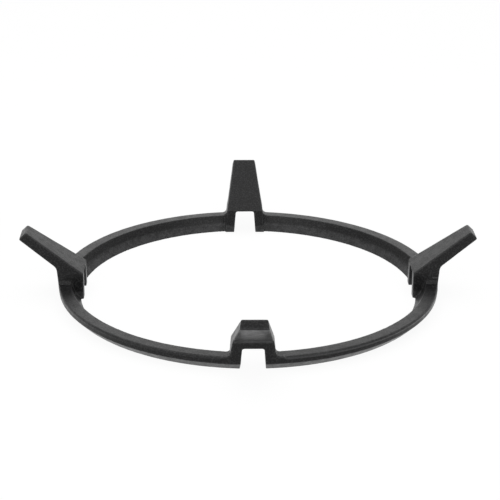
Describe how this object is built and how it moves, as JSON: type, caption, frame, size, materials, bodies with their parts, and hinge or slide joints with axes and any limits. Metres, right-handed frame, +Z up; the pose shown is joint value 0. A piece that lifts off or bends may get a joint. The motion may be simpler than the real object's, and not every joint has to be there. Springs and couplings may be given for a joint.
{
  "type": "pot stand",
  "caption": "Round cast-iron ring for a gas hob, with leaning prongs that hold a round-bottomed pan and notches that drop over the arms of the pan support.",
  "frame": {"origin": "the ring's axis, on the plane that the stand rests on", "axes": "+Z up along the ring's axis; the prongs lie along +X, +Y, -X and -Y, and the pictured front prong is the one along -Y"},
  "size_m": [0.2634, 0.2634, 0.0384],
  "materials": {
    "casting": "satin black coat over a fine sand-cast surface"
  },
  "bodies": {
    "root": {"stand": "casting"}
  },
  "joints": []
}
